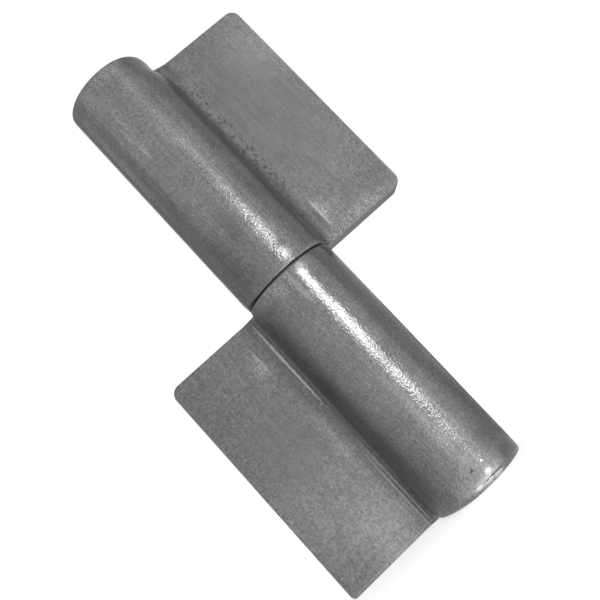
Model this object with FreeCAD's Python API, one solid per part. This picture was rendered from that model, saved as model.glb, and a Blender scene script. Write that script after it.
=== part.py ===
"""Weld-on lift-off hinge: two rolled steel leaves that turn on a fixed pin.

Millimetres. The pin axis is +Z, the way the door leaf lifts off. The door leaf reaches to +X and
the frame leaf to -X. Their flush weld faces look along +Y, and the barrels stand proud on the -Y side.
The origin is on the pin axis, halfway between the two barrels.
"""

import FreeCAD, Part
import math
import os

# Rolled section of both leaves
HINGE_LENGTH = 100.0
BARREL_DIAMETER = 19.0
LEAF_REACH = 30.0
LEAF_THICKNESS = 5.0
NECK_RADIUS = 3.0

# Corners of the leaves seen from the front, and the breaks along their edges
CORNER_RADIUS = 2.0
FRAME_END_CORNER_RADIUS = 1.0
EDGE_CHAMFER = 0.5

# Pin
PIN_DIAMETER = 10.0
PIN_LEAD_LENGTH = 2.5
PIN_LEAD_INSET = 1.2
PIN_CROWN_HEIGHT = 0.6
PIN_FOOT_CHAMFER = 0.6

# Blind bores in the barrels
BARREL_END_WALL = 6.0
DRILL_POINT_ANGLE = 118.0
BORE_MOUTH_CHAMFER = 0.6
BORE_END_ROOM = 2.0
RUNNING_CLEARANCE = 0.08

# Thrust washer between the barrels
WASHER_THICKNESS = 0.5
WASHER_INSET = 1.5
WASHER_CLEARANCE = 0.2

# Worked out from the sizes above
BARREL_RADIUS = BARREL_DIAMETER / 2
PIN_RADIUS = PIN_DIAMETER / 2
SEAM_HEIGHT = WASHER_THICKNESS / 2
LEAF_LENGTH = HINGE_LENGTH / 2 - SEAM_HEIGHT
LEAF_FRONT = BARREL_RADIUS - LEAF_THICKNESS
DOOR_BORE_RADIUS = PIN_RADIUS + RUNNING_CLEARANCE
FRAME_BORE_RADIUS = PIN_RADIUS

ORIGIN = FreeCAD.Vector(0, 0, 0)
Y_AXIS = FreeCAD.Vector(0, 1, 0)
Z_AXIS = FreeCAD.Vector(0, 0, 1)

# Geometry tests: two faces run smoothly into each other above this cosine between their normals
SMOOTH_COSINE = 0.999
POSITION_TOLERANCE = 1e-4


def around(centre, radius, angle):
    """The point at this radius and angle, in radians, round a centre in the XY plane."""
    return centre + FreeCAD.Vector(radius * math.cos(angle), radius * math.sin(angle), 0)


def bore_shoulder(radius):
    """How deep a blind bore of this radius stays full size, from the barrel's seam face."""
    point_height = radius / math.tan(math.radians(DRILL_POINT_ANGLE / 2))
    return LEAF_LENGTH - BARREL_END_WALL - point_height


def revolve(outline):
    """A solid turned about the pin axis from (radius, height) points that start and end on it."""
    points = [FreeCAD.Vector(radius, 0, height) for radius, height in outline]
    face = Part.Face(Part.makePolygon(points + points[:1]))
    return face.revolve(ORIGIN, Z_AXIS, 360)


def leaf_section():
    """The rolled section: a round barrel whose concave neck runs out into a leaf flush with its back."""
    neck_y = LEAF_FRONT - NECK_RADIUS
    neck_x = math.sqrt((BARREL_RADIUS + NECK_RADIUS) ** 2 - neck_y**2)
    neck_centre = FreeCAD.Vector(neck_x, neck_y, 0)
    neck_angle = math.atan2(neck_y, neck_x)
    back_angle = math.pi / 2

    back_start = around(ORIGIN, BARREL_RADIUS, back_angle)
    back_end = FreeCAD.Vector(LEAF_REACH, BARREL_RADIUS, 0)
    front_end = FreeCAD.Vector(LEAF_REACH, LEAF_FRONT, 0)
    neck_end = around(neck_centre, NECK_RADIUS, back_angle)
    neck_middle = around(neck_centre, NECK_RADIUS, (neck_angle + math.pi + back_angle) / 2)
    neck_start = around(ORIGIN, BARREL_RADIUS, neck_angle)
    barrel_middle = around(ORIGIN, BARREL_RADIUS, (neck_angle + back_angle) / 2 - math.pi)

    outline = Part.Wire(
        [
            Part.LineSegment(back_start, back_end).toShape(),
            Part.LineSegment(back_end, front_end).toShape(),
            Part.LineSegment(front_end, neck_end).toShape(),
            Part.Arc(neck_end, neck_middle, neck_start).toShape(),
            Part.Arc(neck_start, barrel_middle, back_start).toShape(),
        ]
    )
    return Part.Face(outline)


def corner_edges(solid, height):
    """The edge across the leaf's thickness at its outer corner, at this height."""
    return [
        edge
        for edge in solid.Edges
        if all(
            abs(vertex.X - LEAF_REACH) < POSITION_TOLERANCE
            and abs(vertex.Z - height) < POSITION_TOLERANCE
            for vertex in edge.Vertexes
        )
    ]


def is_sharp(solid, edge):
    """True where the two faces beside an edge don't run smoothly into each other."""
    middle = edge.valueAt((edge.FirstParameter + edge.LastParameter) / 2)
    normals = []
    for face in solid.ancestorsOfType(edge, Part.Face):
        u, v = face.Surface.parameter(middle)
        normals.append(face.normalAt(u, v))
    return len(normals) > 1 and normals[0].dot(normals[1]) < SMOOTH_COSINE


def break_edges(solid):
    """Chamfers every sharp edge of a leaf."""
    return solid.makeChamfer(EDGE_CHAMFER, [edge for edge in solid.Edges if is_sharp(solid, edge)])


def blind_bore(radius):
    """The cutter for a drilled bore with a chamfered mouth, up from a seam face at z = 0."""
    shoulder = bore_shoulder(radius)
    mouth_radius = radius + BORE_MOUTH_CHAMFER
    return revolve(
        [
            (0, 0),
            (mouth_radius, 0),
            (radius, BORE_MOUTH_CHAMFER),
            (radius, shoulder),
            (0, LEAF_LENGTH - BARREL_END_WALL),
        ]
    )


def leaf(end_corner_radius, bore_radius):
    """One leaf with its bored barrel: seam face at z = 0, free end up, leaf on the +X side."""
    solid = leaf_section().extrude(Z_AXIS * LEAF_LENGTH)
    solid = solid.makeFillet(CORNER_RADIUS, corner_edges(solid, 0))
    solid = solid.makeFillet(end_corner_radius, corner_edges(solid, LEAF_LENGTH))
    return break_edges(solid).cut(blind_bore(bore_radius))


def door_leaf():
    """The upper, female leaf, which lifts off the pin with the door."""
    solid = leaf(CORNER_RADIUS, DOOR_BORE_RADIUS)
    solid.translate(Z_AXIS * SEAM_HEIGHT)
    return solid


def frame_leaf():
    """The lower, male leaf, which is welded to the frame and holds the pin."""
    solid = leaf(FRAME_END_CORNER_RADIUS, FRAME_BORE_RADIUS)
    solid.translate(Z_AXIS * SEAM_HEIGHT)
    solid.rotate(ORIGIN, Y_AXIS, 180)
    return solid


def hinge_pin():
    """The pin: pressed into the frame leaf, with a tapered lead and a crowned tip in the door leaf."""
    foot = -SEAM_HEIGHT - bore_shoulder(FRAME_BORE_RADIUS)
    lead_end = SEAM_HEIGHT + bore_shoulder(DOOR_BORE_RADIUS) - BORE_END_ROOM
    crown_radius = PIN_RADIUS - PIN_LEAD_INSET
    crown_base = lead_end - PIN_CROWN_HEIGHT
    body = revolve(
        [
            (0, foot),
            (PIN_RADIUS - PIN_FOOT_CHAMFER, foot),
            (PIN_RADIUS, foot + PIN_FOOT_CHAMFER),
            (PIN_RADIUS, crown_base - PIN_LEAD_LENGTH),
            (crown_radius, crown_base),
            (0, crown_base),
        ]
    )
    ball_radius = (crown_radius**2 + PIN_CROWN_HEIGHT**2) / (2 * PIN_CROWN_HEIGHT)
    ball = Part.makeSphere(ball_radius, Z_AXIS * (lead_end - ball_radius))
    cap = Part.makeCylinder(crown_radius, PIN_CROWN_HEIGHT, Z_AXIS * crown_base).common(ball)
    return body.fuse(cap).removeSplitter()


def thrust_washer():
    """The thin ring that the door leaf turns on, set in from the barrels' surface."""
    ring = Part.makeCylinder(BARREL_RADIUS - WASHER_INSET, WASHER_THICKNESS, Z_AXIS * -SEAM_HEIGHT)
    hole = Part.makeCylinder(PIN_RADIUS + WASHER_CLEARANCE, WASHER_THICKNESS, Z_AXIS * -SEAM_HEIGHT)
    return ring.cut(hole)


def main():
    """Builds each piece and writes it to its own file."""
    pieces = {
        "door_leaf": door_leaf(),
        "frame_leaf": frame_leaf(),
        "hinge_pin": hinge_pin(),
        "thrust_washer": thrust_washer(),
    }
    os.makedirs("parts", exist_ok=True)
    for name, shape in pieces.items():
        shape.exportStep(f"parts/{name}.step")
        print(name, len(shape.Solids), "solid", round(shape.Volume, 1), "mm3")


main()
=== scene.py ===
"""Looks of the weld-on lift-off hinge: two rolled leaves of bare steel, their pin and a thrust washer.

Metres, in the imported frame. The pin axis is +Z, the door leaf reaches to +X and the frame leaf to -X.
The weld faces look along +Y, and the barrels stand proud on the -Y side.
"""

import logging
import math
from dataclasses import dataclass, field
from enum import Enum
from typing import Optional, Union

import bmesh
import bpy
from mathutils import Matrix, Vector, noise


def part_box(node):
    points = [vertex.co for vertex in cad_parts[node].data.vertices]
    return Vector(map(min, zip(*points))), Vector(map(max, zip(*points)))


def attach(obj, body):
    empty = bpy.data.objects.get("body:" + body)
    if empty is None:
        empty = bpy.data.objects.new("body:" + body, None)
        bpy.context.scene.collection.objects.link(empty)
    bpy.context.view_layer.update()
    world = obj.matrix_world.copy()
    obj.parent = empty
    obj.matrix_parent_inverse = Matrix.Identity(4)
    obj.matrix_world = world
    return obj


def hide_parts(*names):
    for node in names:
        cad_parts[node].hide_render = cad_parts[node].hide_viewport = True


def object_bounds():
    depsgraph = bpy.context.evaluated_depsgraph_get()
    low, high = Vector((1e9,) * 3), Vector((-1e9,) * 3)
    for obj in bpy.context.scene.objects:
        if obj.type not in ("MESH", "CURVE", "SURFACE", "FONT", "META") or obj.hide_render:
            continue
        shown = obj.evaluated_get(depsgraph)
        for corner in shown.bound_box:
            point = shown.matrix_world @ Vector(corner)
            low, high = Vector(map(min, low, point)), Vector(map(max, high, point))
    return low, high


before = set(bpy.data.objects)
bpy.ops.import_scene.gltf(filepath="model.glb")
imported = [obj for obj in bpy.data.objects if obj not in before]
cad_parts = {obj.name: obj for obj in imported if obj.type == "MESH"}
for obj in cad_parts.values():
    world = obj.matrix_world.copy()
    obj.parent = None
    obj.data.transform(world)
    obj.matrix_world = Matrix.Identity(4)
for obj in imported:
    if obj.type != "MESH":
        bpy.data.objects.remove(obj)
CAD_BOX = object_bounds()
MM = 0.001

log = logging.getLogger("hinge")

Socket = bpy.types.NodeSocket
Value = Union[Socket, float]
Triple = tuple[float, float, float]
Pair = tuple[float, float]
Vert = bmesh.types.BMVert

AXIS_UP = Vector((0.0, 0.0, 1.0))
AXIS_ACROSS = Vector((1.0, 0.0, 0.0))
WHITE = (1.0, 1.0, 1.0, 1.0)

# How near two points are taken to be one, two heights to be the same, and a normal to lie along an axis
WELD = 1e-7
PLACE_TOLERANCE = 1e-6
ALONG_AXIS = 0.999

# The whole of a share, and the part of a noise's range that most of its values lie in
WHOLE: Pair = (0.0, 1.0)
MOST: Pair = (0.3, 0.7)


class LeafSide(Enum):
    """Which half of the hinge a leaf belongs to."""

    DOOR = "door"
    FRAME = "frame"


class MarkKind(Enum):
    """What has left a local mark on the steel, and which marks paint light and shade on it."""

    # Speckled strokes: scrapes, and painted sheen on the door leaf's seam end and the frame barrel's rim
    SCRAPE_AND_SHEEN = "speckled strokes along the rolling"
    # Bright lines: lines of the roll, and painted highlights along the neck, a ridge of the barrel and an
    # end edge
    LINE = "bright line"
    PIT = "dark pit"
    # Bright nicks, with lighter grey that paints the glints on the frame barrel's free end
    NICK_AND_GLINT = "bright nick"
    # Paler or darker patches: painted light and shade on the leaves and barrels, partly the skin's own tone
    PATCH = "paler or darker skin"
    GOUGE = "pale stroke with a sharp side towards the barrel"
    PITTING = "scattered small pits"
    CALM = "evenly worn skin with little grain"


# How near to its centre a mark of each kind is at full strength, from 0 at its border to 1
FULL_FROM: dict[MarkKind, float] = {
    MarkKind.SCRAPE_AND_SHEEN: 0.6,
    MarkKind.LINE: 0.35,
    MarkKind.PIT: 0.6,
    MarkKind.NICK_AND_GLINT: 0.8,
    MarkKind.PATCH: 1.0,
    MarkKind.GOUGE: 0.9,
    MarkKind.PITTING: 0.5,
    MarkKind.CALM: 0.5,
}


@dataclass(frozen=True)
class Mark:
    """A local mark: an ellipsoid of the given half sizes round a centre, in millimetres in the frame."""

    kind: MarkKind
    centre: Triple
    half_size: Triple
    strength: float


def smooth_step(low: float, high: float, value: float) -> float:
    """An even S-shaped rise from 0 at low to 1 at high, read at a value."""
    share = min(max((value - low) / (high - low), 0.0), 1.0)
    return share * share * (3.0 - 2.0 * share)


def toward(azimuth: float, elevation: float = 0.0) -> Vector:
    """Finds the way to something seen from the hinge.

    Args:
        azimuth: From the front towards +X, in degrees.
        elevation: Upwards from there, in degrees.

    Returns:
        A vector of length 1.
    """
    turn = math.radians(azimuth)
    rise = math.radians(elevation)
    level = math.cos(rise)
    return Vector((math.sin(turn) * level, -math.cos(turn) * level, math.sin(rise)))


class ShaderGraph:
    """The node tree of a material or a world, with short calls that add a node and hand back its output."""

    def __init__(self, owner: Union[bpy.types.Material, bpy.types.World]) -> None:
        """Starts an empty node tree.

        Args:
            owner: The material or world that the tree belongs to.
        """
        self.owner = owner
        owner.use_nodes = True
        self.tree = owner.node_tree
        self.tree.nodes.clear()

    def add(self, kind: str, *values: object, **inputs: object) -> bpy.types.Node:
        """Adds a node and fills its inputs, each with a constant or a link to a socket.

        Args:
            kind: The node's type name.
            values: What goes into its first inputs, in their order.
            inputs: What goes into its named inputs, with _ for a space in a name.

        Returns:
            The new node.
        """
        node = self.tree.nodes.new(kind)
        targets = list(zip(node.inputs, values))
        targets += [(node.inputs[name.replace("_", " ")], value) for name, value in inputs.items()]
        for target, value in targets:
            if isinstance(value, bpy.types.NodeSocket):
                self.tree.links.new(value, target)
            else:
                target.default_value = value
        return node

    def coordinates(self) -> Socket:
        """The place on the piece, in metres in the frame."""
        return self.add("ShaderNodeTexCoord").outputs["Object"]

    def axis(self, place: Socket, letter: str) -> Socket:
        """One coordinate of a place, by its letter."""
        return self.add("ShaderNodeSeparateXYZ", Vector=place).outputs[letter]

    def mapped(self, place: Socket, scale: Triple, location: Triple = (0.0, 0.0, 0.0)) -> Socket:
        """A place after scaling it along each axis and then moving it."""
        node = self.add("ShaderNodeMapping", Vector=place, Location=location, Scale=scale)
        return node.outputs["Vector"]

    def noise(self, place: Socket, size: float, detail: float = 3.0, rough: float = 0.55) -> Socket:
        """Cloudy noise from about 0.2 to 0.8, with blotches of a size in metres and finer layers."""
        node = self.add("ShaderNodeTexNoise", Vector=place, Scale=1 / size, Detail=detail, Roughness=rough)
        return node.outputs["Fac"]

    def math(self, operation: str, first: Value, second: Value = 0.0) -> Socket:
        """Works out an operation on two values, or on the first alone.

        Args:
            operation: The operation's name.
            first: Its first value.
            second: Its second value, where it takes one.

        Returns:
            The result.
        """
        node = self.add("ShaderNodeMath", first, second)
        node.operation = operation
        return node.outputs["Value"]

    def product(self, first: Value, second: Value) -> Socket:
        """One value times another."""
        return self.math("MULTIPLY", first, second)

    def ramp(self, value: Socket, source: Pair, target: Pair = WHOLE) -> Socket:
        """Maps a range to another with soft ends, clamped.

        Args:
            value: What to map.
            source: The range it comes from.
            target: The range it goes to.

        Returns:
            The mapped value.
        """
        node = self.add("ShaderNodeMapRange", value, *source, *target)
        node.interpolation_type = "SMOOTHSTEP"
        return node.outputs["Result"]

    def blend(self, share: Value, first: Value, second: Value) -> Socket:
        """The first value at a share of 0, the second at 1 and a mix between."""
        return self.add("ShaderNodeMix", Factor=share, A=first, B=second).outputs["Result"]

    def attribute(self, name: str) -> Socket:
        """Reads a number that is kept on the piece's vertices.

        Args:
            name: The name of the vertex layer.

        Returns:
            The number.
        """
        node = self.add("ShaderNodeAttribute")
        node.attribute_name = name
        return node.outputs["Fac"]

    def near(self, place: Socket, mark: Mark) -> Socket:
        """Works out how near a place is to a mark.

        Args:
            place: The place.
            mark: The mark.

        Returns:
            1 at the mark's centre and 0 from its half sizes on.
        """
        scale = tuple(1.0 / (half * MM) for half in mark.half_size)
        shift = tuple(-middle / half for middle, half in zip(mark.centre, mark.half_size))
        node = self.add("ShaderNodeTexGradient", Vector=self.mapped(place, scale, shift))
        node.gradient_type = "SPHERICAL"
        return node.outputs["Fac"]

    def surface(self, shader: bpy.types.Node) -> None:
        """Ends the tree in a shader.

        Args:
            shader: The shader's node.
        """
        in_world = isinstance(self.owner, bpy.types.World)
        kind = "ShaderNodeOutputWorld" if in_world else "ShaderNodeOutputMaterial"
        self.add(kind, Surface=shader.outputs[0])

    def metal(self, colour: Value, roughness: Value, height: Socket, depth: float) -> bpy.types.Material:
        """Ends the tree in a metal surface.

        Args:
            colour: Its reflectance.
            roughness: Its roughness.
            height: The relief, from 0 to 1.
            depth: How far that relief reaches, in metres.

        Returns:
            The finished material.
        """
        bump = self.add("ShaderNodeBump", Height=height, Distance=depth, Strength=1.0)
        shader = self.add(
            "ShaderNodeBsdfPrincipled",
            Base_Color=colour,
            Roughness=roughness,
            Metallic=1.0,
            Normal=bump.outputs["Normal"],
        )
        self.surface(shader)
        return self.owner


@dataclass(frozen=True)
class RolledSteel:
    """Bare rolled steel under a thin grey skin: fine grain, lines along the rolling, rubbed edges, and
    painted highlights, glints and shade among its marks.
    """

    name: str
    marks: tuple[Mark, ...]

    # Reflectance of the skin, of the steel under it where it is worn and where glints and sheen are
    # painted, and of the leaf's flat against the barrel
    grey: float = 0.205
    sheen_and_wear_grey: float = 0.55
    leaf_grey: float = 0.84

    # Sizes of the noises, and how far they are drawn out along the rolling
    grain_size: float = 0.36 * MM
    grain_stretch: float = 0.8
    line_size: float = 0.5 * MM
    line_stretch: float = 0.04
    mottle_size: float = 2.6 * MM
    cloud_size: float = 9.0 * MM
    coarse_share: float = 2.4
    fine_share: float = 0.75

    # The shades that each noise brings, and the parts of its range that they go with
    grain_range: Pair = (0.2, 0.8)
    grain_shades: Pair = (0.71, 1.25)
    cloud_range: Pair = (0.25, 0.75)
    cloud_shades: Pair = (0.9, 1.1)
    mottle_shades: Pair = (0.95, 1.05)
    line_shades: Pair = (0.93, 1.07)
    salt_range: Pair = (0.62, 0.72)
    salt_shades: Pair = (1.0, 1.42)

    # Roughness and relief
    barrel_roughness: Pair = (0.17, 0.25)
    leaf_roughness: Pair = (0.5, 0.6)
    flank_roughness: float = 0.05
    relief: float = 0.062 * MM
    grain_relief: float = 0.75
    line_relief: float = 0.35
    leaf_relief: float = 0.5
    polished_relief: float = 0.3

    # The neck's pitted skin, darker on the door leaf as oxide and painted shade and lighter on the frame
    # leaf as painted light, and the worn edges with painted sheen
    neck_oxide_and_painted_light: float = 0.75
    neck_pit_range: Pair = (0.46, 0.6)
    neck_pit_shares: Pair = (0.4, 1.0)
    sheen_and_wear_range: Pair = (0.25, 0.6)
    sheen_and_wear_shares: Pair = (0.4, 1.0)

    # How the noises break up the marks
    calm_grain: float = 0.5
    pitting_range: Pair = (0.53, 0.64)
    pitting_depth: float = 0.5
    stroke_range: Pair = (0.35, 0.6)
    stroke_shares: Pair = (0.3, 1.0)
    scrape_and_sheen_range: Pair = (0.48, 0.64)
    line_range: Pair = (0.3, 0.6)
    line_shares: Pair = (0.55, 1.0)
    gouge_range: Pair = (0.44, 0.62)
    gouge_shares: Pair = (0.15, 1.0)
    gouge_side: float = 0.15 * MM

    # The sawn faces at the seam and the free end
    seam_height: float = 0.25 * MM
    end_height: float = 50.0 * MM
    cut_border: Pair = (0.02 * MM, 0.08 * MM)
    cut_grey: float = 0.44
    cut_shades: Pair = (0.8, 1.15)
    cut_roughness: float = 0.42
    saw_size: float = 0.35 * MM
    saw_stretch: float = 0.04

    def material(self) -> bpy.types.Material:
        """The finish with its marks."""
        return RolledSkin(self).finished()


class RolledSkin(ShaderGraph):
    """The node tree of a rolled steel: its noises, and its look so far, which each mark changes in turn."""

    def __init__(self, steel: RolledSteel) -> None:
        """Sets up the noises and the skin before its marks.

        Args:
            steel: The skin's sizes and shades.
        """
        super().__init__(bpy.data.materials.new(steel.name))
        self.steel = steel
        self.place = self.coordinates()
        along_grain = self.mapped(self.place, (1.0, 1.0, steel.grain_stretch))
        along_lines = self.mapped(self.place, (1.0, 1.0, steel.line_stretch))
        self.grain = self.noise(along_grain, steel.grain_size, detail=2.0, rough=0.6)
        self.lines = self.noise(along_lines, steel.line_size, rough=0.6)
        self.mottle = self.noise(self.place, steel.mottle_size)
        self.clouds = self.noise(self.place, steel.cloud_size, detail=4.0, rough=0.6)
        self.coarse = self.noise(self.place, steel.coarse_share * steel.grain_size, detail=2.0)
        self.fine = self.noise(self.place, steel.fine_share * steel.grain_size, detail=1.0)
        self.salt = self.ramp(self.fine, steel.salt_range)
        self.barrel = self.attribute("barrel_share")
        broken = self.ramp(self.grain, steel.sheen_and_wear_range, steel.sheen_and_wear_shares)
        self.worn_and_glinting = self.product(self.attribute("edge_sheen_and_wear"), broken)
        for mark in steel.marks:
            if mark.kind is MarkKind.CALM:
                calm = self.product(self._presence(mark), mark.strength)
                self.grain = self.blend(calm, self.grain, steel.calm_grain)
                self.salt = self.product(self.salt, self.math("SUBTRACT", 1.0, calm))
        self.colour = self._skin_colour()
        self.rough = self._skin_roughness()
        self.height = self._skin_height()

    def finished(self) -> bpy.types.Material:
        """Leaves the marks on the skin and ends the tree.

        Returns:
            The material.
        """
        for mark in self.steel.marks:
            self._leave(mark)
        # Worn steel, painted glints and painted edge sheen take the lighter grey
        self.colour = self.blend(self.worn_and_glinting, self.colour, self.steel.sheen_and_wear_grey)
        self._saw_off()
        return self.metal(self.colour, self.rough, self.height, self.steel.relief)

    def _skin_colour(self) -> Socket:
        """Lays the shades of all the noises over each other.

        Returns:
            The skin's reflectance.
        """
        steel = self.steel
        pits = self.ramp(self.coarse, steel.neck_pit_range, steel.neck_pit_shares)
        # The neck's tone: pitted oxide with painted shade on the door leaf, painted light on the frame leaf
        neck = self.product(self.attribute("neck_share"), pits)
        colour = self.product(self.ramp(self.grain, steel.grain_range, steel.grain_shades), steel.grey)
        for value, source, shades in (
            (self.clouds, steel.cloud_range, steel.cloud_shades),
            (self.mottle, MOST, steel.mottle_shades),
            (self.lines, MOST, steel.line_shades),
            (self.salt, WHOLE, steel.salt_shades),
            (self.barrel, WHOLE, (steel.leaf_grey, 1.0)),
            (neck, WHOLE, (1.0, steel.neck_oxide_and_painted_light)),
        ):
            colour = self.product(colour, self.ramp(value, source, shades))
        return colour

    def _skin_roughness(self) -> Socket:
        """Sets the barrel's smoother skin apart from the leaf's.

        Returns:
            The skin's roughness.
        """
        leaf = self.ramp(self.clouds, MOST, self.steel.leaf_roughness)
        barrel = self.ramp(self.clouds, MOST, self.steel.barrel_roughness)
        flank = self.product(self.attribute("flank_share"), self.steel.flank_roughness)
        return self.math("ADD", self.blend(self.barrel, leaf, barrel), flank)

    def _skin_height(self) -> Socket:
        """Makes the relief from the grain and the lines.

        Returns:
            The skin's relief, lower on the leaf and where it is polished.
        """
        grain = self.product(self.grain, self.steel.grain_relief)
        height = self.math("ADD", grain, self.product(self.lines, self.steel.line_relief))
        height = self.product(height, self.ramp(self.barrel, WHOLE, (self.steel.leaf_relief, 1.0)))
        polish = self.attribute("polish_share")
        return self.product(height, self.ramp(polish, WHOLE, (1.0, self.steel.polished_relief)))

    def _presence(self, mark: Mark, target: Pair = WHOLE) -> Socket:
        """How much of a mark there is, or the value in another range that goes with it."""
        return self.ramp(self.near(self.place, mark), (0.0, FULL_FROM[mark.kind]), target)

    def _leave(self, mark: Mark) -> None:
        """Leaves one mark on the skin.

        Args:
            mark: The mark.
        """
        # A paler or darker patch: painted light and shade, partly the skin's own tone
        if mark.kind is MarkKind.PATCH:
            shade = self._presence(mark, (1.0, 1.0 + mark.strength))
            self.colour = self.product(self.colour, shade)
        elif mark.kind is MarkKind.PIT:
            shade = self._presence(mark, (1.0, 1.0 - mark.strength))
            self.colour = self.product(self.colour, shade)
            self.worn_and_glinting = self.product(self.worn_and_glinting, shade)
            self.height = self.math("SUBTRACT", self.height, self.near(self.place, mark))
        elif mark.kind is MarkKind.PITTING:
            pits = self.product(self._presence(mark), self.ramp(self.coarse, self.steel.pitting_range))
            self.colour = self.product(self.colour, self.ramp(pits, WHOLE, (1.0, 1.0 - mark.strength)))
            depth = self.product(pits, self.steel.pitting_depth)
            self.height = self.math("SUBTRACT", self.height, depth)
        elif mark.kind is not MarkKind.CALM:
            # Bright marks lighten the skin: bare steel, painted highlights, sheen and glints
            bare = self.product(self._bright_share(mark), mark.strength)
            self.worn_and_glinting = self.math("MAXIMUM", self.worn_and_glinting, bare)

    def _bright_share(self, mark: Mark) -> Socket:
        """Works out where a bright mark lightens the skin, with bare steel or painted highlights, sheen and
        glints.

        Args:
            mark: A scrape, line, gouge or nick.

        Returns:
            From 0 off the mark to 1 where it is fully lightened.
        """
        steel = self.steel
        share = self._presence(mark)
        if mark.kind is MarkKind.SCRAPE_AND_SHEEN:
            strokes = self.ramp(self.lines, steel.stroke_range, steel.stroke_shares)
            share = self.product(share, strokes)
            share = self.product(share, self.ramp(self.fine, steel.scrape_and_sheen_range))
        elif mark.kind is MarkKind.LINE:
            share = self.product(share, self.ramp(self.grain, steel.line_range, steel.line_shares))
        elif mark.kind is MarkKind.GOUGE:
            side = abs(mark.centre[0]) * MM
            across = self.math("ABSOLUTE", self.axis(self.place, "X"))
            share = self.product(share, self.ramp(across, (side, side + steel.gouge_side)))
            share = self.product(share, self.ramp(self.fine, steel.gouge_range, steel.gouge_shares))
        return share

    def _saw_off(self) -> None:
        """Gives the sawn faces at the seam and the free end their own look."""
        steel = self.steel
        near, far = steel.cut_border
        height = self.math("ABSOLUTE", self.axis(self.place, "Z"))
        at_seam = self.ramp(height, (steel.seam_height + near, steel.seam_height + far), (1.0, 0.0))
        at_end = self.ramp(height, (steel.end_height - far, steel.end_height - near))
        cut = self.math("MAXIMUM", at_seam, at_end)
        across = self.mapped(self.place, (steel.saw_stretch, 1.0, 1.0))
        saw = self.noise(across, steel.saw_size, detail=2.0, rough=0.6)
        grey = self.product(self.ramp(saw, MOST, steel.cut_shades), steel.cut_grey)
        self.colour = self.blend(cut, self.colour, grey)
        self.rough = self.blend(cut, self.rough, steel.cut_roughness)
        self.height = self.blend(cut, self.height, saw)


@dataclass(frozen=True)
class TurnedSteel:
    """Bright turned steel with fine tool marks round the pin axis, and beyond a radius old, greasy steel
    whose dark grey also paints the shade in the seam.
    """

    name: str
    grey: float = 0.42
    cloud_size: float = 4.0 * MM
    cloud_shades: Pair = (0.88, 1.1)
    ring_size: float = 0.25 * MM
    ring_stretch: float = 0.03
    ring_shades: Pair = (0.92, 1.08)
    ring_roughness: Pair = (0.22, 0.34)
    relief: float = 0.006 * MM
    shaded_grease_from: Optional[float] = None
    shaded_grease_grey: float = 0.16
    grease_roughness: float = 0.6
    shaded_grease_waver: float = 0.4 * MM
    shaded_grease_border: float = 0.5 * MM

    def material(self) -> bpy.types.Material:
        """Builds the finish.

        Returns:
            The material.
        """
        graph = ShaderGraph(bpy.data.materials.new(self.name))
        place = graph.coordinates()
        round_axis = graph.mapped(place, (self.ring_stretch, self.ring_stretch, 1.0))
        rings = graph.noise(round_axis, self.ring_size, detail=2.0)
        clouds = graph.noise(place, self.cloud_size)
        colour = graph.product(graph.ramp(clouds, MOST, self.cloud_shades), self.grey)
        colour = graph.product(colour, graph.ramp(rings, MOST, self.ring_shades))
        rough = graph.ramp(rings, MOST, self.ring_roughness)
        if self.shaded_grease_from is not None:
            from_axis = graph.add("ShaderNodeVectorMath", graph.mapped(place, (1.0, 1.0, 0.0)))
            from_axis.operation = "LENGTH"
            waver = graph.ramp(clouds, MOST, (-self.shaded_grease_waver, self.shaded_grease_waver))
            reach = graph.math("ADD", from_axis.outputs["Value"], waver)
            grease_shade = graph.ramp(reach, (self.shaded_grease_from, self.shaded_grease_from + self.shaded_grease_border))
            # The greasy ring's dark grey, which also paints the shade in the seam
            colour = graph.blend(grease_shade, colour, self.shaded_grease_grey)
            rough = graph.blend(grease_shade, rough, self.grease_roughness)
        return graph.metal(colour, rough, rings, self.relief)


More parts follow.
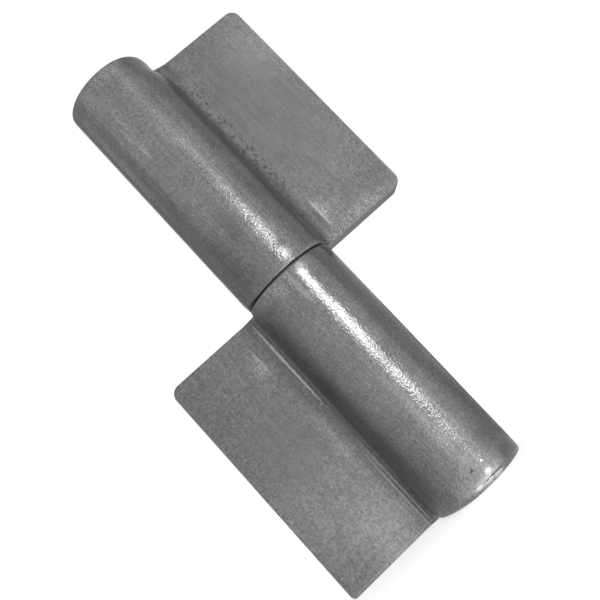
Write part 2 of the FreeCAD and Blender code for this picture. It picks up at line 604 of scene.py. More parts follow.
@dataclass
class RolledLeaf:
    """One leaf with its barrel. It is built as the door leaf lies, and the frame leaf is turned over."""

    side: LeafSide
    node: str
    body: str
    finish: RolledSteel

    # The section, its corners and the break along its sharp edges
    thickness: float = 5.0 * MM
    neck_radius: float = 3.0 * MM
    seam_corner: float = 2.0 * MM
    end_corner: float = 2.0 * MM
    edge_break: float = 0.25 * MM
    sharp_angle: float = math.radians(30.0)

    # The blind bore
    bore_radius: float = 5.08 * MM
    bore_mouth: float = 0.6 * MM
    end_wall: float = 6.0 * MM
    drill_angle: float = math.radians(118.0)

    # The barrel's rims: the share of the edge break that is kept, and the length and depth of the roll
    seam_break: float = 0.2
    end_break: float = 0.6
    seam_roll: Pair = (2.0 * MM, 0.2 * MM)
    end_roll: Pair = (0.9 * MM, 0.08 * MM)

    # How far the cut has drawn the barrel's free end in and down beside the neck, and where that fades
    pinch: float = 1.2 * MM
    dip: float = 0.0
    pinch_fade: Pair = (2.0 * MM, 7.0 * MM)
    pinch_angles: Pair = (math.radians(10.0), math.radians(75.0))

    # Slow unevenness of the rolled faces
    waviness: float = 0.03 * MM
    swell_size: float = 7.0 * MM

    # Wear along the edges and on the front of the barrel's free end, lightened further as painted edge
    # sheen and glints, and the polish beside the seam
    edge_sheen_and_wear: float = 0.12
    rim_sheen_and_wear: float = 0.45
    side_sheen_and_wear: float = 0.4
    end_glint_and_wear: float = 0.0
    end_glint_fade: Pair = (1.2 * MM, 2.4 * MM)
    end_glint_angle: float = -2.5
    end_glint_spread: float = 15.0
    blotch_size: float = 1.1 * MM
    blotch_level: float = 0.75
    blotch_swing: float = 0.6
    polish: float = 0.0
    polish_fade: Pair = (1.5 * MM, 8.0 * MM)

    # Where parts of the skin begin and end, in shares of the barrel's radius or before the neck's toe
    skin_depth: float = 0.8
    barrel_until: float = 0.8
    roll_until: float = 1.1
    flank_rise: Pair = (0.5, 0.85)
    neck_rise: Pair = (0.86, 1.0)
    neck_fall: Pair = (1.9 * MM, 0.4 * MM)
    front_margin: float = 0.1 * MM
    rim_depth: float = 1.1

    # How finely it is divided
    barrel_steps: int = 120
    neck_steps: int = 18
    corner_steps: int = 10
    break_steps: int = 4
    bore_steps: int = 72
    station_step: float = 0.9 * MM
    end_stations: tuple[float, ...] = (0.15, 0.35, 0.6, 0.9, 1.3, 1.8, 2.4)

    # The mesh in work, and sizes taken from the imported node
    mesh: bmesh.types.BMesh = field(init=False)
    radius: float = field(init=False)
    reach: float = field(init=False)
    seam: float = field(init=False)
    end: float = field(init=False)
    front: float = field(init=False)
    neck_centre: Vector = field(init=False)
    neck_angle: float = field(init=False)

    def __post_init__(self) -> None:
        """Takes the leaf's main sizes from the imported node, and starts its mesh."""
        low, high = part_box(self.node)
        self.radius = high[1]
        self.reach = max(-low[0], high[0])
        self.seam = min(abs(low[2]), abs(high[2]))
        self.end = max(abs(low[2]), abs(high[2]))
        self.front = self.radius - self.thickness
        neck_y = self.front - self.neck_radius
        neck_x = math.sqrt((self.radius + self.neck_radius) ** 2 - neck_y**2)
        self.neck_centre = Vector((neck_x, neck_y, self.seam))
        self.neck_angle = math.atan2(neck_y, neck_x)
        self.mesh = bmesh.new()
        for layer in ("edge_sheen_and_wear", "barrel_share", "neck_share", "flank_share", "polish_share"):
            self.mesh.verts.layers.float.new(layer)

    def build(self) -> bpy.types.Object:
        """Models the leaf, dresses it and puts it on its body.

        Returns:
            The finished piece.
        """
        self._extrude_section()
        self._round_corner(self.seam, self.seam_corner)
        self._round_corner(self.end, self.end_corner)
        self._break_edges()
        self._drill()
        self._divide()
        self._map_skin()
        self._relieve()
        if self.side is LeafSide.FRAME:
            turn = Matrix.Rotation(math.pi, 3, "Y")
            bmesh.ops.rotate(self.mesh, verts=self.mesh.verts[:], cent=(0, 0, 0), matrix=turn)
        bmesh.ops.recalc_face_normals(self.mesh, faces=self.mesh.faces[:])
        return self._dress()

    def _extrude_section(self) -> None:
        """Draws the rolled section at the seam and extrudes it to the free end."""
        mesh = self.mesh
        start = mesh.verts.new((0.0, self.radius, self.seam))
        barrel_turn = 1.5 * math.pi + self.neck_angle
        neck_start = self._arc(start, AXIS_UP * self.seam, barrel_turn, self.barrel_steps)
        neck_turn = -(0.5 * math.pi + self.neck_angle)
        neck_end = self._arc(neck_start, self.neck_centre, neck_turn, self.neck_steps)
        front_end = mesh.verts.new((self.reach, self.front, self.seam))
        back_end = mesh.verts.new((self.reach, self.radius, self.seam))
        for pair in ((neck_end, front_end), (front_end, back_end), (back_end, start)):
            mesh.edges.new(pair)
        section = bmesh.ops.edgeloop_fill(mesh, edges=mesh.edges[:])["faces"]
        grown = bmesh.ops.extrude_face_region(mesh, geom=section)["geom"]
        far_verts = [item for item in grown if isinstance(item, Vert)]
        bmesh.ops.translate(mesh, verts=far_verts, vec=AXIS_UP * (self.end - self.seam))
        bmesh.ops.recalc_face_normals(mesh, faces=mesh.faces[:])

    def _arc(self, start: Vert, centre: Vector, turn: float, steps: int) -> Vert:
        """Draws an arc in the section's plane from a vertex.

        Args:
            start: Where the arc starts.
            centre: Its centre.
            turn: The angle it covers, in radians.
            steps: How many edges it has.

        Returns:
            The vertex at the arc's end.
        """
        spun = bmesh.ops.spin(
            self.mesh, geom=[start], cent=centre, axis=AXIS_UP, dvec=(0, 0, 0), angle=turn, steps=steps
        )
        return next(item for item in spun["geom_last"] if isinstance(item, Vert))

    def _round_corner(self, height: float, radius: float) -> None:
        """Rounds the leaf's outer corner, seen from the front.

        Args:
            height: The corner's height.
            radius: Its radius.
        """
        at_corner = {
            vert
            for vert in self.mesh.verts
            if abs(vert.co.x - self.reach) < PLACE_TOLERANCE and abs(vert.co.z - height) < PLACE_TOLERANCE
        }
        corner = [edge for edge in self.mesh.edges if at_corner.issuperset(edge.verts)]
        self._bevel(corner, radius, self.corner_steps)

    def _bevel(self, edges: list[bmesh.types.BMEdge], offset: float, steps: int) -> dict[str, list]:
        """Rounds edges.

        Args:
            edges: The edges.
            offset: How far the rounding reaches on each side.
            steps: How many faces it has across.

        Returns:
            The new faces, edges and vertices, by the operator's names.
        """
        return bmesh.ops.bevel(
            self.mesh,
            geom=edges,
            offset=offset,
            offset_type="OFFSET",
            segments=steps,
            profile=0.5,
            affect="EDGES",
            material=-1,
        )

    def _break_edges(self) -> None:
        """Rounds every sharp edge a little, and notes how much wear and painted sheen lighten it."""
        worn_and_glinting = self.mesh.verts.layers.float["edge_sheen_and_wear"]
        sharp = [edge for edge in self.mesh.edges if edge.calc_face_angle(0.0) > self.sharp_angle]
        broken = self._bevel(sharp, self.edge_break, self.break_steps)
        strips = set(broken["faces"])
        for vert in broken["verts"]:
            if all(face in strips for face in vert.link_faces):
                vert[worn_and_glinting] = self._edge_wear_and_sheen(vert.co)

    def _edge_wear_and_sheen(self, place: Vector) -> float:
        """Works out how much a broken edge is lightened: worn skin, with painted sheen on the leaf's outer
        long edge and the barrel's free rim.

        Args:
            place: A point of the edge.

        Returns:
            From 0 for none to 1 for all.
        """
        if place.x > self.reach - 2 * self.edge_break:
            return self.side_sheen_and_wear
        if place.z > self.end - 2 * self.edge_break and place.x < self.radius:
            return self.rim_sheen_and_wear
        return self.edge_sheen_and_wear

    def _drill(self) -> None:
        """Opens the seam face and sinks the blind bore with its chamfered mouth and drill point."""
        mesh = self.mesh
        seam_faces = [face for face in mesh.faces if face.normal.z < -ALONG_AXIS]
        seam_face = max(seam_faces, key=lambda face: face.calc_area())
        bmesh.ops.delete(mesh, geom=[seam_face], context="FACES_ONLY")
        tip = self.end - self.end_wall
        shoulder = tip - self.bore_radius / math.tan(self.drill_angle / 2)
        outline = [
            (self.bore_radius + self.bore_mouth, self.seam),
            (self.bore_radius, self.seam + self.bore_mouth),
            (self.bore_radius, shoulder),
            (0.0, tip),
        ]
        verts = [mesh.verts.new((radius, 0.0, height)) for radius, height in outline]
        edges = [mesh.edges.new(pair) for pair in zip(verts, verts[1:])]
        bmesh.ops.spin(
            mesh,
            geom=verts + edges,
            cent=(0, 0, 0),
            axis=AXIS_UP,
            dvec=(0, 0, 0),
            angle=2 * math.pi,
            steps=self.bore_steps,
            use_merge=True,
        )
        bmesh.ops.remove_doubles(mesh, verts=mesh.verts[:], dist=WELD)
        open_edges = [edge for edge in mesh.edges if edge.is_boundary]
        bmesh.ops.triangle_fill(mesh, use_beauty=True, edges=open_edges)

    def _divide(self) -> None:
        """Cuts the long faces up, finely near the ends, so that they can take the relief."""
        near_end = [self.edge_break + station * MM for station in self.end_stations]
        heights = [self.seam + depth for depth in near_end] + [self.end - depth for depth in near_end]
        first = self.seam + near_end[-1]
        last = self.end - near_end[-1]
        count = int((last - first) / self.station_step)
        heights += [first + (last - first) * step / count for step in range(1, count)]
        for height in heights:
            self._slice(AXIS_UP, height)
        toe = self.neck_centre.x
        columns = int((self.reach - toe) / self.station_step)
        for step in range(columns):
            self._slice(AXIS_ACROSS, toe + (self.reach - toe) * step / columns)

    def _slice(self, way: Vector, distance: float) -> None:
        """Cuts the faces that a plane crosses, at a distance along the way that it faces."""
        geom = self.mesh.verts[:] + self.mesh.edges[:] + self.mesh.faces[:]
        bmesh.ops.bisect_plane(self.mesh, geom=geom, dist=WELD, plane_co=way * distance, plane_no=way)

    def _map_skin(self) -> None:
        """Notes on each vertex which part of the leaf it belongs to, and how much wear and painted glints
        lighten it.
        """
        layers = self.mesh.verts.layers.float
        toe = self.neck_centre.x
        neck_rise = [share * self.radius for share in self.neck_rise]
        neck_fall = [toe - distance for distance in self.neck_fall]
        flank_rise = [share * self.radius for share in self.flank_rise]
        for vert in self.mesh.verts:
            place = vert.co
            in_front = float(place.y < self.front + self.front_margin)
            neck = smooth_step(*neck_rise, place.x) * (1.0 - smooth_step(*neck_fall, place.x))
            flank = smooth_step(*flank_rise, place.x) * (1.0 - smooth_step(self.radius, toe, place.x))
            polish = 1.0 - smooth_step(*self.polish_fade, place.z - self.seam)
            vert[layers["barrel_share"]] = self._barrel_share(place, self.barrel_until)
            vert[layers["neck_share"]] = in_front * neck
            vert[layers["flank_share"]] = in_front * flank
            vert[layers["polish_share"]] = self.polish * polish
            vert[layers["edge_sheen_and_wear"]] = max(vert[layers["edge_sheen_and_wear"]], self._end_wear_and_glint(place))

    def _barrel_share(self, place: Vector, until: float) -> float:
        """1 up to a share of the radius, falling to 0 where the neck meets the flat of the leaf."""
        return 1.0 - smooth_step(until * self.radius, self.neck_centre.x, place.x)

    def _end_wear_and_glint(self, place: Vector) -> float:
        """Works out how much the front of the barrel's free end is lightened, by worn skin and painted
        glints.

        Args:
            place: A point of the leaf.

        Returns:
            From 0 for none to 1 for all, in blotches.
        """
        # Wear and painted glints lie in a band round the barrel's front
        toward_neck = math.degrees(math.atan2(place.x, -place.y))
        at_front = math.exp(-(((toward_neck - self.end_glint_angle) / self.end_glint_spread) ** 2))
        at_end = 1.0 - smooth_step(*self.end_glint_fade, self.end - place.z)
        blotches = self.blotch_level + self.blotch_swing * noise.noise(place / self.blotch_size)
        return min(1.0, self.end_glint_and_wear * at_front * at_end * blotches)

    def _relieve(self) -> None:
        """Rolls the barrel's ends over and makes the rolled faces slightly uneven, always inwards."""
        self.mesh.normal_update()
        moves = []
        for vert in self.mesh.verts:
            place = vert.co
            round_distance = math.hypot(place.x, place.y)
            if round_distance < self.skin_depth * self.radius:
                continue
            inward = -Vector((place.x, place.y, 0.0)) / round_distance
            on_barrel = self._barrel_share(place, self.roll_until)
            drawn = self._drawn_share(place)
            move = inward * (self._roll_depth(place) + self.pinch * drawn) * on_barrel
            move.z -= self.dip * drawn * on_barrel
            if on_barrel > 0.0 and round_distance > self.radius - self.rim_depth * self.edge_break:
                move += self._tighten(place, -inward * self.radius) * on_barrel
            swell = 0.5 + 0.5 * noise.noise(place / self.swell_size)
            move -= Vector((vert.normal.x, vert.normal.y, 0.0)) * self.waviness * swell
            moves.append((vert, move))
        for vert, move in moves:
            vert.co += move

    def _tighten(self, place: Vector, outward: Vector) -> Vector:
        """Draws a broken barrel rim together towards its sharp corner.

        Args:
            place: A point of the broken rim.
            outward: From the pin axis to the barrel's surface at that point.

        Returns:
            How far the point moves.
        """
        for height, kept in ((self.seam, self.seam_break), (self.end, self.end_break)):
            if abs(place.z - height) <= self.edge_break:
                return (Vector((outward.x, outward.y, height)) - place) * (1.0 - kept)
        return Vector()

    def _roll_depth(self, place: Vector) -> float:
        """How far the barrel's surface falls away at a place near its ends, in metres."""
        ends = ((place.z - self.seam, *self.seam_roll), (self.end - place.z, *self.end_roll))
        return sum(depth * max(0.0, 1.0 - distance / length) ** 2 for distance, length, depth in ends)

    def _drawn_share(self, place: Vector) -> float:
        """Works out how much the cut has drawn the barrel's free end in beside the neck.

        Args:
            place: A point of the leaf.

        Returns:
            From 0 for not at all to 1 for fully.
        """
        if place.y > self.front:
            return 0.0
        beside_neck = smooth_step(*self.pinch_angles, math.atan2(place.x, -place.y))
        return beside_neck * (1.0 - smooth_step(*self.pinch_fade, self.end - place.z))

    def _dress(self) -> bpy.types.Object:
        """Makes the piece from its mesh, with its finish, and puts it in the node's place.

        Returns:
            The piece.
        """
        data = bpy.data.meshes.new(f"{self.node}_rolled")
        self.mesh.to_mesh(data)
        self.mesh.free()
        data.shade_smooth()
        data.materials.append(self.finish.material())
        piece = bpy.data.objects.new(f"{self.node}_rolled", data)
        bpy.context.scene.collection.objects.link(piece)
        piece.modifiers.new("even_normals", "WEIGHTED_NORMAL")
        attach(piece, self.body)
        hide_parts(self.node)
        return piece


@dataclass
class PinStack:
    """The pin in the frame leaf and the washer that the door leaf turns on, both as packed."""

    pin_finish: TurnedSteel
    washer_finish: TurnedSteel

    def dress(self) -> list[bpy.types.Object]:
        """Gives both nodes their finish.

        Returns:
            The dressed pieces.
        """
        pieces = []
        for node, finish in (("hinge_pin", self.pin_finish), ("thrust_washer", self.washer_finish)):
            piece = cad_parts[node]
            piece.data.materials.clear()
            piece.data.materials.append(finish.material())
            pieces.append(piece)
        return pieces


@dataclass(frozen=True)
class Lamp:
    """A rectangular lamp that faces the hinge: its place, width and height, and its power in watts."""

    name: str
    place: Vector
    size: Pair
    power: float
    in_reflections: bool = True


@dataclass(frozen=True)
class Screen:
    """A screen that stands round the hinge, and how bright it looks in the steel. Azimuth in degrees."""

    name: str
    azimuth: float
    lift: float
    size: Pair
    level: float


@dataclass(frozen=True)
class Mat:
    """A screen that lies flat, at a height above the floor, and how bright it looks in the steel."""

    name: str
    centre: Pair
    size: Pair
    level: float
    lift: float = 0.2 * MM


LAMP_DISTANCE = 0.8

LAMPS = (
    Lamp("key", toward(24.5, 5.0) * LAMP_DISTANCE, (0.15, 0.2), 1.1),
    Lamp("upper_key", toward(34.0, 22.0) * LAMP_DISTANCE, (0.12, 0.25), 0.09),
    Lamp("overhead", Vector((0.15, 0.1, LAMP_DISTANCE)), (0.7, 0.7), 3.0, in_reflections=False),
)

SCREENS = (
    Screen("left_screen", -107.0, 0.045, (0.32, 0.19), 0.53),
    Screen("left_high_screen", -107.0, 0.32, (0.32, 0.36), 0.63),
    Screen("left_back_screen", -150.0, 0.0, (0.16, 0.9), 0.33),
    Screen("left_soft_screen", -70.5, 0.03, (0.09, 0.16), 0.72),
    Screen("left_pale_screen", -53.5, 0.03, (0.09, 0.16), 0.86),
    Screen("right_screen", 111.0, 0.0, (0.52, 0.9), 0.6),
    Screen("right_back_screen", 168.0, -0.02, (0.26, 0.06), 0.2),
)

MATS = (
    Mat("left_mat", (-0.24, 0.145), (0.4, 0.31), 0.4),
    Mat("left_near_mat", (-0.026, -0.0055), (0.028, 0.017), 0.6),
    Mat("left_front_mat", (-0.15, -0.055), (0.22, 0.09), 0.7),
    Mat("right_mat", (0.2, 0.066), (0.46, 0.108), 0.4),
    Mat("right_front_mat", (0.22, -0.009), (0.42, 0.042), 0.66),
    Mat("back_mat", (0.2, 0.57), (0.44, 0.9), 0.36),
    Mat("front_card", (0.006, -0.16), (0.04, 0.298), 1.7),
    Mat("top_screen", (0.0, 0.0), (0.5, 0.5), 0.4, lift=0.4),
)


@dataclass
class Studio:
    """A white floor and surround, two lamps in front, one overhead, and screens that shape the steel."""

    floor_height: float
    floor_size: float = 6.0
    floor_glow: float = 0.7
    screen_distance: float = 0.3
    lamps: tuple[Lamp, ...] = LAMPS
    screens: tuple[Screen, ...] = SCREENS
    mats: tuple[Mat, ...] = MATS

    def build(self) -> list[bpy.types.Object]:
        """Sets up the surround, the floor, the lamps and the screens.

        Returns:
            Everything but the surround.
        """
        self._surround()
        things = [self._floor()]
        things += [self._hang(lamp) for lamp in self.lamps]
        for screen in self.screens:
            way = toward(screen.azimuth)
            place = way * self.screen_distance + AXIS_UP * screen.lift
            things.append(self._screen(screen, place, way))
        for mat in self.mats:
            place = Vector((*mat.centre, self.floor_height + mat.lift))
            things.append(self._screen(mat, place, AXIS_UP))
        return things

    @staticmethod
    def _surround() -> None:
        """Makes the world a plain white, for the camera, in reflections and as light."""
        graph = ShaderGraph(bpy.data.worlds.new("studio"))
        graph.surface(graph.add("ShaderNodeBackground", Color=WHITE, Strength=1.0))
        bpy.context.scene.world = graph.owner

    def _floor(self) -> bpy.types.Object:
        """Lays a wide white floor under the hinge, which keeps its shadow.

        Returns:
            The floor.
        """
        mesh = bmesh.new()
        bmesh.ops.create_grid(mesh, x_segments=1, y_segments=1, size=self.floor_size / 2)
        bmesh.ops.translate(mesh, verts=mesh.verts[:], vec=AXIS_UP * self.floor_height)
        graph = ShaderGraph(bpy.data.materials.new("floor_white"))
        matt = graph.add("ShaderNodeBsdfDiffuse", Color=WHITE)
        glow = graph.add("ShaderNodeEmission", Color=WHITE, Strength=1.0)
        # It glows for rays that see it, and casts no light of its own
        path = graph.add("ShaderNodeLightPath")
        seen = path.outputs["Is Camera Ray"]
        for name in ("Is Glossy Ray", "Is Transmission Ray"):
            seen = graph.math("MAXIMUM", seen, path.outputs[name])
        share = graph.product(seen, self.floor_glow)
        graph.surface(graph.add("ShaderNodeMixShader", share, matt.outputs[0], glow.outputs[0]))
        return self._stage("floor", mesh, graph.owner)

    def _screen(self, screen: Union[Screen, Mat], place: Vector, facing: Vector) -> bpy.types.Object:
        """Sets up a plain screen that only shows in the steel's reflections.

        Args:
            screen: The screen's name, size and brightness.
            place: Its middle.
            facing: Its normal, towards or away from the hinge.

        Returns:
            The screen's object.
        """
        mesh = bmesh.new()
        bmesh.ops.create_grid(mesh, x_segments=1, y_segments=1, size=0.5)
        bmesh.ops.scale(mesh, verts=mesh.verts[:], vec=(*screen.size, 1.0))
        turn = facing.to_track_quat("Z", "Y").to_matrix()
        bmesh.ops.rotate(mesh, verts=mesh.verts[:], cent=(0, 0, 0), matrix=turn)
        bmesh.ops.translate(mesh, verts=mesh.verts[:], vec=place)
        graph = ShaderGraph(bpy.data.materials.new(screen.name))
        graph.surface(graph.add("ShaderNodeEmission", Color=WHITE, Strength=screen.level))
        thing = self._stage(screen.name, mesh, graph.owner)
        thing.visible_camera = False
        thing.visible_diffuse = False
        thing.visible_shadow = False
        return thing

    @staticmethod
    def _stage(name: str, mesh: bmesh.types.BMesh, material: bpy.types.Material) -> bpy.types.Object:
        """Makes a studio object that isn't part of the hinge.

        Args:
            name: The object's name.
            mesh: Its mesh, which is freed.
            material: Its material.

        Returns:
            The object.
        """
        data = bpy.data.meshes.new(name)
        mesh.to_mesh(data)
        mesh.free()
        data.materials.append(material)
        thing = bpy.data.objects.new(name, data)
        bpy.context.scene.collection.objects.link(thing)
        return thing

    @staticmethod
    def _hang(lamp: Lamp) -> bpy.types.Object:
        """Hangs a lamp so that it faces the hinge.

        Args:
            lamp: The lamp's sizes.

        Returns:
            The lamp's object.
        """
        data = bpy.data.lights.new(lamp.name, "AREA")
        data.shape = "RECTANGLE"
        data.size, data.size_y = lamp.size
        data.energy = lamp.power
        thing = bpy.data.objects.new(lamp.name, data)
        thing.location = lamp.place
        thing.rotation_euler = (-lamp.place).to_track_quat("-Z", "Y").to_euler()
        thing.visible_glossy = lamp.in_reflections
        bpy.context.scene.collection.objects.link(thing)
        return thing


@dataclass(frozen=True)
class PhotoCamera:
    """The camera that took the photograph: close to the hinge and rolled, so that the hinge lies aslant."""

    place: Triple = (-17.75 * MM, -147.27 * MM, -26.71 * MM)
    aim: Triple = (4.84 * MM, 0.0, -6.94 * MM)
    roll: float = math.radians(-43.37)
    lens: float = 49.06
    sensor: float = 36.0
    shift: Pair = (-0.0555, -0.0192)
    clip_start: float = 1.0 * MM

    def build(self) -> bpy.types.Object:
        """Creates the camera and makes it the scene's.

        Returns:
            The camera.
        """
        data = bpy.data.cameras.new("photo_camera")
        data.lens = self.lens
        data.sensor_width = self.sensor
        data.sensor_fit = "HORIZONTAL"
        data.shift_x, data.shift_y = self.shift
        data.clip_start = self.clip_start
        camera = bpy.data.objects.new("photo_camera", data)
        place = Vector(self.place)
        look = (Vector(self.aim) - place).to_track_quat("-Z", "Y").to_matrix().to_4x4()
        camera.matrix_world = Matrix.Translation(place) @ look @ Matrix.Rotation(self.roll, 4, "Z")
        bpy.context.scene.collection.objects.link(camera)
        bpy.context.scene.camera = camera
        return camera


DOOR_MARKS = (
    # The stroke beside the neck, near the seam
    Mark(MarkKind.GOUGE, (13.6, 4.5, 6.2), (4.2, 2.0, 5.0), 0.58),
    Mark(MarkKind.LINE, (13.85, 4.5, 6.4), (0.3, 1.5, 4.2), 0.5),
    Mark(MarkKind.SCRAPE_AND_SHEEN, (16.5, 4.5, 5.0), (3.0, 1.5, 4.0), 0.25),
    Mark(MarkKind.PATCH, (12.9, 4.5, 6.0), (0.9, 1.5, 4.8), -0.3),
    # The foot of the neck: painted shade in the crease, and pitting
    Mark(MarkKind.PATCH, (11.7, 4.3, 13.0), (1.2, 1.5, 22.0), -0.32),
    Mark(MarkKind.PATCH, (11.7, 4.3, 50.0), (1.4, 1.5, 10.0), -0.32),
    Mark(MarkKind.PITTING, (12.1, 4.4, 27.0), (1.5, 1.5, 24.0), 0.35),
    # The flat of the leaf: calm skin, and painted light and shade near the seam and towards its outer top
    # corner
    Mark(MarkKind.CALM, (21.5, 4.5, 29.0), (12.0, 2.5, 21.0), 0.6),
    Mark(MarkKind.SCRAPE_AND_SHEEN, (14.5, 4.5, 1.2), (4.5, 1.5, 1.9), 0.45),
    Mark(MarkKind.SCRAPE_AND_SHEEN, (19.0, 4.5, 1.4), (10.5, 1.5, 2.4), 0.42),
    Mark(MarkKind.PATCH, (27.0, 4.5, 6.0), (5.0, 5.0, 8.0), -0.14),
    Mark(MarkKind.PATCH, (28.0, 4.5, 42.0), (10.0, 5.0, 15.0), 0.35),
    # The barrel at the seam: painted shade where the highlight stops and in the seam's end, and painted
    # light and a painted highlight on its rim
    Mark(MarkKind.PATCH, (2.0, -9.29, 4.0), (1.9, 1.5, 1.6), -0.55),
    Mark(MarkKind.PATCH, (1.6, -9.36, 1.1), (2.6, 1.5, 1.2), -0.4),
    Mark(MarkKind.PATCH, (-6.8, -6.6, 1.2), (3.2, 3.2, 2.2), 0.32),
    Mark(MarkKind.PATCH, (-9.1, -2.2, 0.3), (1.0, 2.2, 0.6), -0.7),
    Mark(MarkKind.LINE, (6.9, -6.4, 0.4), (3.4, 3.4, 0.6), 0.4),
    # The barrel along its length: painted light and shade, scrapes and lines; and rubbed patches at its
    # free end
    Mark(MarkKind.PATCH, (-5.4, -7.8, 5.0), (4.5, 4.5, 14.0), -0.25),
    Mark(MarkKind.PATCH, (-2.4, -9.2, 13.0), (2.4, 1.5, 9.0), -0.2),
    Mark(MarkKind.PATCH, (-8.6, -4.0, 38.0), (1.6, 2.4, 17.0), 0.28),
    Mark(MarkKind.PATCH, (3.25, -8.93, 43.0), (2.8, 1.7, 17.0), -0.2),
    Mark(MarkKind.SCRAPE_AND_SHEEN, (-3.6, -8.8, 38.0), (1.4, 1.3, 8.0), 0.25),
    Mark(MarkKind.LINE, (-4.75, -8.2, 37.3), (0.4, 0.8, 2.4), 0.2),
    Mark(MarkKind.LINE, (-4.2, -8.5, 33.2), (0.45, 0.8, 2.6), 0.25),
    Mark(MarkKind.SCRAPE_AND_SHEEN, (-0.5, -9.4, 48.6), (4.0, 1.5, 2.0), 0.45),
)

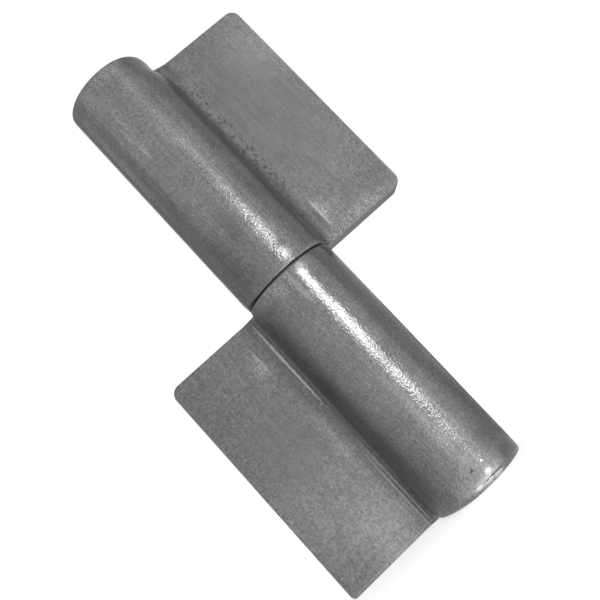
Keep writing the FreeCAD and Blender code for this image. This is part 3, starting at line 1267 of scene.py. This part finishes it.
FRAME_MARKS = (
    # The stroke beside the neck, near the seam
    Mark(MarkKind.GOUGE, (-13.65, 4.5, -7.6), (3.6, 2.0, 4.6), 0.5),
    Mark(MarkKind.LINE, (-13.85, 4.5, -8.0), (0.25, 1.5, 3.6), 0.34),
    Mark(MarkKind.SCRAPE_AND_SHEEN, (-14.8, 4.5, -8.0), (2.2, 1.5, 4.8), 0.34),
    # Lines of the roll in the neck, brightened as painted highlights, and painted shade beside them
    Mark(MarkKind.LINE, (-9.74, 2.75, -19.0), (0.3, 1.6, 26.0), 0.42),
    Mark(MarkKind.LINE, (-10.6, 3.8, -11.5), (0.27, 1.5, 11.0), 1.0),
    Mark(MarkKind.LINE, (-10.5, 3.7, -41.0), (0.2, 1.5, 11.0), 0.4),
    Mark(MarkKind.LINE, (-11.25, 4.15, -44.0), (0.26, 1.5, 13.0), 0.35),
    Mark(MarkKind.PATCH, (-10.85, 3.95, -43.0), (0.3, 1.5, 12.0), -0.4),
    Mark(MarkKind.PATCH, (-10.2, 3.4, -45.0), (0.9, 1.5, 16.0), -0.25),
    # The flat of the leaf: calm skin, painted light and shade, lighter towards its lower end, and a painted
    # highlight along the end edge
    Mark(MarkKind.CALM, (-21.0, 4.5, -22.0), (7.0, 2.5, 11.0), 0.45),
    Mark(MarkKind.PATCH, (-27.0, 4.5, -8.0), (8.0, 5.0, 14.0), -0.12),
    Mark(MarkKind.PATCH, (-13.2, 4.5, -27.0), (2.1, 1.5, 14.0), 0.34),
    Mark(MarkKind.PATCH, (-21.0, 4.5, -43.0), (22.0, 6.0, 24.0), 0.42),
    Mark(MarkKind.PATCH, (-17.0, 4.5, -48.5), (9.0, 5.0, 14.0), 0.45),
    Mark(MarkKind.LINE, (-20.5, 4.5, -49.5), (10.0, 1.2, 0.3), 0.2),
    # The barrel at the seam: painted highlights, and scrapes with painted sheen and light on its rim
    Mark(MarkKind.LINE, (-0.7, -9.46, -4.2), (0.7, 1.0, 4.4), 0.3),
    Mark(MarkKind.LINE, (1.9, -9.31, -1.7), (1.5, 1.0, 1.5), 0.3),
    Mark(MarkKind.SCRAPE_AND_SHEEN, (-2.2, -9.2, -2.0), (4.0, 1.8, 2.4), 0.5),
    Mark(MarkKind.SCRAPE_AND_SHEEN, (-6.3, -7.1, -1.3), (3.4, 3.2, 1.7), 0.45),
    Mark(MarkKind.SCRAPE_AND_SHEEN, (8.0, -5.0, -1.4), (2.6, 3.2, 1.7), 0.4),
    Mark(MarkKind.PATCH, (-7.6, -5.7, -1.6), (2.6, 3.2, 2.2), 0.34),
    # The barrel along its length: painted shade on the flank and across the highlight, and a painted
    # highlight lower down
    Mark(MarkKind.PATCH, (-9.38, -1.5, -25.0), (0.4, 1.3, 34.0), -0.18),
    Mark(MarkKind.PATCH, (-7.8, -5.4, -26.0), (1.7, 2.1, 30.0), -0.2),
    Mark(MarkKind.PATCH, (2.3, -9.22, -8.0), (1.3, 1.2, 3.6), -0.35),
    Mark(MarkKind.PATCH, (1.8, -9.33, -22.0), (1.6, 1.2, 5.0), -0.4),
    Mark(MarkKind.PATCH, (-1.0, -9.42, -32.0), (2.0, 1.5, 16.0), 0.32),
    Mark(MarkKind.PATCH, (2.9, -9.05, -37.0), (1.4, 1.3, 16.0), 0.3),
    Mark(MarkKind.PATCH, (9.3, -2.1, -48.0), (1.0, 2.7, 27.0), -0.36),
    # The barrel's free end: nicks that paint its glints, and pits. The pits come last, because they darken
    # the worn and glinting steel too
    Mark(MarkKind.NICK_AND_GLINT, (1.64, -9.36, -46.1), (0.35, 0.6, 0.35), 1.0),
    Mark(MarkKind.NICK_AND_GLINT, (1.3, -9.41, -48.1), (1.2, 1.2, 0.85), 1.0),
    Mark(MarkKind.NICK_AND_GLINT, (2.4, -9.2, -49.55), (2.0, 1.2, 0.5), 1.0),
    Mark(MarkKind.NICK_AND_GLINT, (-1.6, -9.36, -49.1), (1.3, 1.2, 0.6), 0.9),
    Mark(MarkKind.PIT, (-0.85, -9.46, -46.25), (0.5, 0.8, 0.28), 0.6),
    Mark(MarkKind.PIT, (-0.62, -9.48, -45.95), (0.2, 0.6, 0.36), 0.5),
    Mark(MarkKind.PIT, (1.8, -9.3, -49.05), (3.2, 1.5, 0.2), 0.7),
)


def door_leaf() -> RolledLeaf:
    """Describes the upper leaf, which lifts off with the door.

    Returns:
        The leaf, ready to build.
    """
    return RolledLeaf(
        side=LeafSide.DOOR,
        node="door_leaf",
        body="door_half",
        finish=RolledSteel("door_leaf_steel", DOOR_MARKS, leaf_grey=0.88),
    )


def frame_leaf() -> RolledLeaf:
    """Describes the lower leaf, which stays on the frame and holds the pin.

    Returns:
        The leaf, ready to build.
    """
    return RolledLeaf(
        side=LeafSide.FRAME,
        node="frame_leaf",
        body="frame_half",
        finish=RolledSteel("frame_leaf_steel", FRAME_MARKS, neck_oxide_and_painted_light=1.2, flank_roughness=0.15),
        end_corner=1.0 * MM,
        bore_radius=5.01 * MM,
        seam_break=0.45,
        seam_roll=(2.0 * MM, 0.16 * MM),
        end_roll=(0.8 * MM, 0.06 * MM),
        pinch=0.2 * MM,
        dip=0.45 * MM,
        pinch_fade=(0.0, 4.0 * MM),
        rim_sheen_and_wear=0.2,
        end_glint_and_wear=0.85,
        polish=0.75,
    )


def main() -> None:
    """Builds the hinge's pieces, then the studio and the camera, and reports each."""
    logging.basicConfig(level=logging.INFO, format="%(name)s: %(message)s")
    pieces = [door_leaf().build(), frame_leaf().build()]
    pin_finish = TurnedSteel("pin_steel")
    washer_finish = TurnedSteel("washer_steel", grey=0.36, shaded_grease_from=7.0 * MM)
    pieces += PinStack(pin_finish, washer_finish).dress()
    for piece in pieces:
        log.info("%s: %d faces in %s", piece.name, len(piece.data.polygons), piece.data.materials[0].name)
    for thing in Studio(floor_height=CAD_BOX[0][2]).build():
        log.info("%s: in the studio", thing.name)
    log.info("%s: set up", PhotoCamera().build().name)
    bpy.context.scene.view_settings.view_transform = "Standard"


if __name__ == "__main__":
    main()
